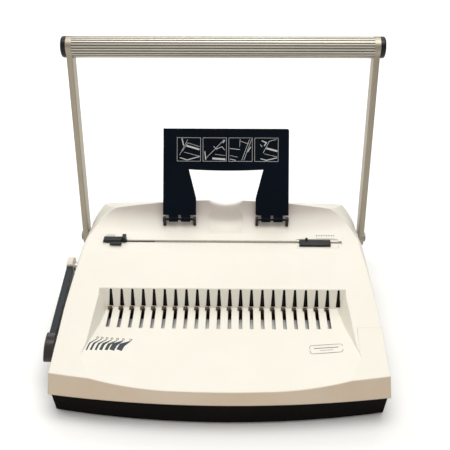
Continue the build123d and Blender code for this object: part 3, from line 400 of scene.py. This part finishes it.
def stroke(mesh, place, points, width, closed=False, low=-0.05, high=0.09):
    """A thin raised line through points, which place() puts on a surface."""
    widths = width if isinstance(width, list) else [width] * len(points)
    rings = []
    for left, right in sides(points, widths, closed):
        corners = [(left, high), (right, high), (right, low), (left, low)]
        rings.append([mesh.verts.new(place(c.x, c.y, lift)) for c, lift in corners])
    pairs = list(zip(rings, rings[1:]))
    if closed:
        pairs.append((rings[-1], rings[0]))
    for first, second in pairs:
        for k in range(4):
            mesh.faces.new((first[k], first[k - 1], second[k - 1], second[k]))
    if not closed:
        mesh.faces.new(rings[0])
        mesh.faces.new(rings[-1][::-1])


def finish_marks(mesh, name, ink, body):
    """Turn the strokes into a piece that rides on its body."""
    bmesh.ops.recalc_face_normals(mesh, faces=mesh.faces)
    data = bpy.data.meshes.new(name)
    mesh.to_mesh(data)
    mesh.free()
    piece = bpy.data.objects.new(name, data)
    bpy.context.scene.collection.objects.link(piece)
    data.materials.append(ink.material)
    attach(piece, body)


def steps(start, end, count):
    """Evenly spaced points from start to end."""
    return [Vector(start).lerp(Vector(end), i / count) for i in range(count + 1)]


def boxed(x0, y0, x1, y1, corner=0.0, count=4):
    """A rectangle's outline with rounded corners."""
    points = []
    for cx, cy, turn in ((x1, y1, 0), (x0, y1, 90), (x0, y0, 180), (x1, y0, 270)):
        mx = cx - corner if cx == x1 else cx + corner
        my = cy - corner if cy == y1 else cy + corner
        if corner == 0:
            points.append(Vector((cx, cy)))
            continue
        for i in range(count + 1):
            a = math.radians(turn + 90 * i / count)
            points.append(Vector((mx + corner * math.cos(a), my + corner * math.sin(a))))
    return points


# Comb-size marks, in millimetres: the feet and knees step back as the dish under them deepens
BAR_WIDTHS = [1.8, 2.6, 2.6, 3.6, 3.8, 6.4, 7.0]
BAR_FIRST_X = -164.0
BAR_FOOT_Y = -121.5
BAR_FOOT_STEP = 0.8
BAR_KNEE_Y = -109.5
BAR_KNEE_STEP = 0.25
BAR_KNEE_SHIFT = 2.6
BAR_HEAD_Y = -100.5
BAR_HEAD_SHIFT = 7.5
BAR_HEAD_STEP = 0.35
BAR_GAP = 3.6
BAR_SPACING = 0.85
BAR_PIECES = 4
BAR_TAPER = 0.22
BAR_LEAST_WIDTH = 1.1
RING_RADIUS = 1.4
RING_RISE = 2.4
RING_LINE = 0.7
RING_POINTS = 10


def comb_size_marks():
    """Slanted bars that grow in width, each with a small ring over it."""
    marks = bmesh.new()
    turns = [math.tau * k / RING_POINTS for k in range(RING_POINTS)]
    x = BAR_FIRST_X
    for number, thick in enumerate(BAR_WIDTHS):
        foot = Vector((x, BAR_FOOT_Y + number * BAR_FOOT_STEP))
        knee = Vector((x + BAR_KNEE_SHIFT, BAR_KNEE_Y + number * BAR_KNEE_STEP))
        head = Vector((knee.x + BAR_HEAD_SHIFT + number * BAR_HEAD_STEP, BAR_HEAD_Y))
        bar = steps(foot, knee, BAR_PIECES) + steps(knee, head, BAR_PIECES)[1:]
        widths = [thick] * (BAR_PIECES + 1)
        for k in range(1, BAR_PIECES + 1):
            widths.append(max(BAR_LEAST_WIDTH, thick * (1 - BAR_TAPER * k)))
        stroke(marks, on_cover, bar, widths)
        ring = [
            head + Vector((RING_RADIUS * math.cos(a), RING_RISE + RING_RADIUS * math.sin(a)))
            for a in turns
        ]
        stroke(marks, on_cover, ring, RING_LINE, closed=True)
        x += BAR_GAP + thick * BAR_SPACING
    finish_marks(marks, "comb_size_marks", INK_DARK, "housing")


def plain_plate():
    """An outlined name plate with two plain lines and no lettering."""
    marks = bmesh.new()
    stroke(marks, on_cover, boxed(112.0, -118.5, 152.0, -105.0, 3.0), 0.7, closed=True)
    stroke(marks, on_cover, steps((117.0, -110.2), (147.0, -110.2), 10), 1.3)
    stroke(marks, on_cover, steps((124.0, -114.0), (140.0, -114.0), 6), 0.6)
    finish_marks(marks, "plain_plate", INK_GREY, "housing")


# Scale behind the margin selector: its ends, its two long lines and its ticks
SCALE_LEFT = 131.0
SCALE_RIGHT = 157.0
SCALE_BACK_Y = 63.6
SCALE_FRONT_Y = 57.2
TICK_COUNT = 8
TICK_FIRST_X = 132.0
TICK_PITCH = 3.4
TICK_TOP_Y = 63.2
LONG_TICK = 3.4
SHORT_TICK = 2.0


def selector_scale():
    """Ticks of two lengths between two lines."""
    marks = bmesh.new()
    for y, width in ((SCALE_BACK_Y, 0.6), (SCALE_FRONT_Y, 0.4)):
        stroke(marks, on_cover, steps((SCALE_LEFT, y), (SCALE_RIGHT, y), 12), width)
    for tick in range(TICK_COUNT):
        reach = LONG_TICK if tick % 2 == 0 else SHORT_TICK
        at = TICK_FIRST_X + tick * TICK_PITCH
        stroke(marks, on_cover, steps((at, TICK_TOP_Y), (at, TICK_TOP_Y - reach), 2), 0.55)
    finish_marks(marks, "selector_scale", INK_GREY, "housing")


# Four pictures: lay, lift, press and empty. Each line has its points, as shares of the frame from its
# lower left corner, and its width in millimetres before WIDTH_SHARE
PICTURES = [
    [
        ([(0.12, 0.15), (0.42, 0.05), (0.96, 0.2)], 1.5),
        ([(0.3, 0.38), (0.95, 0.22)], 0.6),
        ([(0.22, 0.42), (0.45, 0.78), (0.97, 0.62)], 0.6),
        ([(0.4, 0.66), (0.95, 0.5)], 3.0),
        ([(0.2, 0.97), (0.28, 0.66)], 1.7),
        ([(0.1, 0.25), (0.45, 0.92)], 0.6),
    ],
    [
        ([(0.1, 0.1), (0.3, 0.3), (0.9, 0.92)], 0.7),
        ([(0.08, 0.42), (0.12, 0.06)], 1.6),
        ([(0.4, 0.12), (0.96, 0.08)], 3.2),
        ([(0.5, 0.3), (0.96, 0.24)], 0.6),
        ([(0.55, 0.52), (0.82, 0.62), (0.92, 0.48)], 1.0),
        ([(0.45, 0.64), (0.6, 0.5)], 0.9),
        ([(0.84, 0.78), (0.93, 0.9)], 1.6),
    ],
    [
        ([(0.04, 0.55), (0.48, 0.5)], 1.0),
        ([(0.05, 0.25), (0.38, 0.18)], 0.6),
        ([(0.48, 0.96), (0.46, 0.62)], 0.6),
        ([(0.55, 0.04), (0.88, 0.94)], 0.7),
        ([(0.64, 0.04), (0.97, 0.94)], 0.7),
        ([(0.45, 0.88), (0.84, 0.74)], 0.7),
        ([(0.8, 0.4), (0.94, 0.62)], 1.4),
        ([(0.05, 0.1), (0.3, 0.04)], 1.2),
    ],
    [
        ([(0.25, 0.12), (0.5, 0.05), (0.96, 0.16)], 1.5),
        ([(0.42, 0.32), (0.96, 0.2)], 0.6),
        ([(0.5, 0.56), (0.97, 0.44)], 3.0),
        ([(0.36, 0.36), (0.62, 0.86), (0.92, 0.94)], 0.8),
        ([(0.3, 0.88), (0.5, 0.8), (0.4, 0.66)], 1.8),
        ([(0.24, 0.72), (0.32, 0.62)], 0.9),
    ],
]
FRAME_SIDE = 33.0
FRAME_STEP = 36.4
FRAME_LEFT = -69.0
FRAME_FOOT = 82.0
FRAME_LINE = 0.45
WIDTH_SHARE = 0.8


def support_pictures():
    """The framed pictures in a row on the paper support."""
    marks = bmesh.new()
    top = FRAME_FOOT + FRAME_SIDE
    for number, lines in enumerate(PICTURES):
        left = FRAME_LEFT + FRAME_STEP * number
        outline = boxed(left, FRAME_FOOT, left + FRAME_SIDE, top)
        stroke(marks, on_support, outline, FRAME_LINE, closed=True)
        for points, width in lines:
            drawn = [(left + FRAME_SIDE * a, FRAME_FOOT + FRAME_SIDE * b) for a, b in points]
            stroke(marks, on_support, drawn, width * WIDTH_SHARE)
    finish_marks(marks, "support_pictures", INK_WHITE, "paper_support")


comb_size_marks()
plain_plate()
selector_scale()
support_pictures()

# ---------------------------------------------------------------- floor, light and camera


def floor_material():
    n = Nodes("studio_floor")
    tone = n.spread(n.noise(0.5, 3.0), 0.0, 1.0, 0.3, 0.7)
    n.set(Base_Color=n.mix(tone, colour(0.90, 0.90, 0.90), colour(0.93, 0.93, 0.925)), Roughness=0.85)
    n.set(Normal=n.bump(n.noise(0.004, 2.0), 0.02 * MM, 0.2))
    return n.material


def floor(half=4.0):
    mesh = bmesh.new()
    bmesh.ops.create_grid(mesh, x_segments=8, y_segments=8, size=half)
    data = bpy.data.meshes.new("studio_floor")
    mesh.to_mesh(data)
    mesh.free()
    piece = bpy.data.objects.new("studio_floor", data)
    bpy.context.scene.collection.objects.link(piece)
    data.materials.append(floor_material())


def soft_light(name, place, target, size, power, tint):
    data = bpy.data.lights.new(name, "AREA")
    data.shape = "RECTANGLE"
    data.size, data.size_y = size
    data.energy = power
    data.color = tint
    lamp = bpy.data.objects.new(name, data)
    lamp.location = place
    lamp.rotation_mode = "QUATERNION"
    lamp.rotation_quaternion = (Vector(target) - Vector(place)).to_track_quat("-Z", "Y")
    bpy.context.scene.collection.objects.link(lamp)


CAMERA_PLACE = (0.0205, -0.7139, 0.7017)
CAMERA_DOWN = math.radians(37.0)
CAMERA_SWING = math.radians(1.23)
CAMERA_ROLL = math.radians(0.37)
LENS_MM = 56.0
SENSOR_MM = 36.0


def camera():
    """A camera that looks down from in front, swung and rolled very slightly."""
    swing_cos, swing_sin = math.cos(CAMERA_SWING), math.sin(CAMERA_SWING)
    level_share = math.cos(CAMERA_DOWN)
    ahead = Vector((-swing_sin * level_share, swing_cos * level_share, -math.sin(CAMERA_DOWN)))
    level = Vector((swing_cos, swing_sin, 0))
    sink = ahead.cross(level)
    right = level * math.cos(CAMERA_ROLL) + sink * math.sin(CAMERA_ROLL)
    below = level * -math.sin(CAMERA_ROLL) + sink * math.cos(CAMERA_ROLL)
    data = bpy.data.cameras.new("camera")
    data.lens = LENS_MM
    data.sensor_width = SENSOR_MM
    data.clip_end = 50.0
    rig = bpy.data.objects.new("camera", data)
    turn = Matrix((right, -below, -ahead)).transposed()
    rig.matrix_world = Matrix.Translation(CAMERA_PLACE) @ turn.to_4x4()
    bpy.context.scene.collection.objects.link(rig)
    bpy.context.scene.camera = rig


def world():
    sky = bpy.data.worlds.new("studio")
    sky.use_nodes = True
    background = sky.node_tree.nodes["Background"]
    background.inputs["Color"].default_value = (1.0, 0.985, 0.96, 1)
    background.inputs["Strength"].default_value = 0.42
    bpy.context.scene.world = sky


# Name, place, target, size, power in watts and tint
LIGHTS = [
    ("overhead", (0.12, 0.12, 1.9), (0, 0, 0.05), (1.5, 1.2), 26.0, (1.0, 0.99, 0.96)),
    ("front_warm", (-0.3, -1.7, 0.5), (0, 0, 0.06), (1.4, 0.7), 3.4, (1.0, 0.90, 0.80)),
    ("backdrop", (0, 1.5, 1.5), (0, 1.25, 0), (2.4, 1.0), 15.0, (1.0, 1.0, 1.0)),
    ("left_rim", (-1.6, 0.5, 0.9), (0, 0.05, 0.15), (0.7, 1.0), 6.0, (1.0, 0.98, 0.95)),
]

floor()
for light in LIGHTS:
    soft_light(*light)
world()
camera()
bpy.context.scene.view_settings.view_transform = "Standard"
